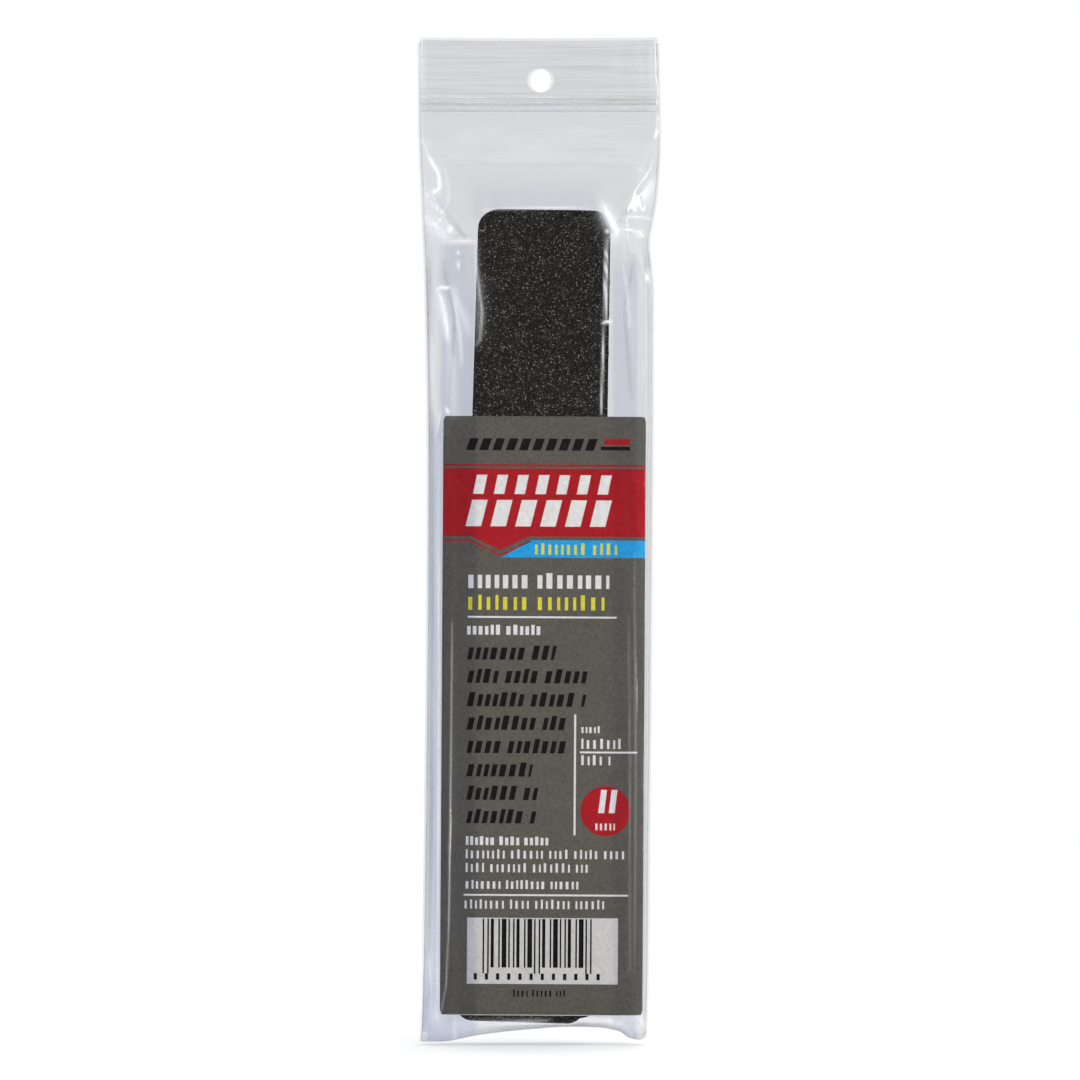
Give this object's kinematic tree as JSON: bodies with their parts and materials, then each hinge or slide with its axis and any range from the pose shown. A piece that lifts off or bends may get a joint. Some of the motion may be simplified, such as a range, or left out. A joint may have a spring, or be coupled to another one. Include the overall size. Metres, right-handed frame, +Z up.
{
  "type": "sanding stick pack",
  "caption": "Pair of double-sided foam-core sanding sticks with a label card in a clear hanging press-to-close bag.",
  "frame": {"origin": "centre of the hang hole, in the bag's middle plane", "axes": "+X across the bag to the right as seen from the front, -Y out of the front face, +Z up"},
  "size_m": [0.0536, 0.0093, 0.2215],
  "materials": {
    "film": "gloss",
    "weld": "gloss",
    "zip_plastic": "satin",
    "card": "satin",
    "grit": "matte",
    "backing": "matte",
    "adhesive": "satin",
    "foam": "matte",
    "core": "satin"
  },
  "bodies": {
    "bag": {"rear_film": "film", "front_film": "film", "zip_channel": "zip_plastic", "left_side_weld": "weld", "right_side_weld": "weld", "bottom_fold": "weld"},
    "front_lip": {"front_lip_film": "film", "zip_rib": "zip_plastic"},
    "label_card": {"label_card": "card"},
    "front_stick": {"front_stick_rear_grit": "grit", "front_stick_rear_backing": "backing", "front_stick_rear_glue": "adhesive", "front_stick_rear_foam": "foam", "front_stick_rear_core_glue": "adhesive", "front_stick_core": "core", "front_stick_front_core_glue": "adhesive", "front_stick_front_foam": "foam", "front_stick_front_glue": "adhesive", "front_stick_front_backing": "backing", "front_stick_front_grit": "grit"},
    "rear_stick": {"rear_stick_rear_grit": "grit", "rear_stick_rear_backing": "backing", "rear_stick_rear_glue": "adhesive", "rear_stick_rear_foam": "foam", "rear_stick_rear_core_glue": "adhesive", "rear_stick_core": "core", "rear_stick_front_core_glue": "adhesive", "rear_stick_front_foam": "foam", "rear_stick_front_glue": "adhesive", "rear_stick_front_backing": "backing", "rear_stick_front_grit": "grit"}
  },
  "joints": [
    {"name": "mouth_open", "type": "hinge", "parent": "bag", "child": "front_lip", "pos_m": [0, -0.0049, -0.019], "axis": [1, 0, 0], "range_deg": [0, 40]},
    {"name": "front_stick_slide", "type": "slide", "parent": "bag", "child": "front_stick", "axis": [0, 0, 1], "range_m": [0, 0.008]},
    {"name": "rear_stick_slide", "type": "slide", "parent": "bag", "child": "rear_stick", "axis": [0, 0, 1], "range_m": [0, 0.008]},
    {"name": "label_card_slide", "type": "slide", "parent": "bag", "child": "label_card", "axis": [0, 0, 1], "range_m": [0, 0.03]}
  ]
}
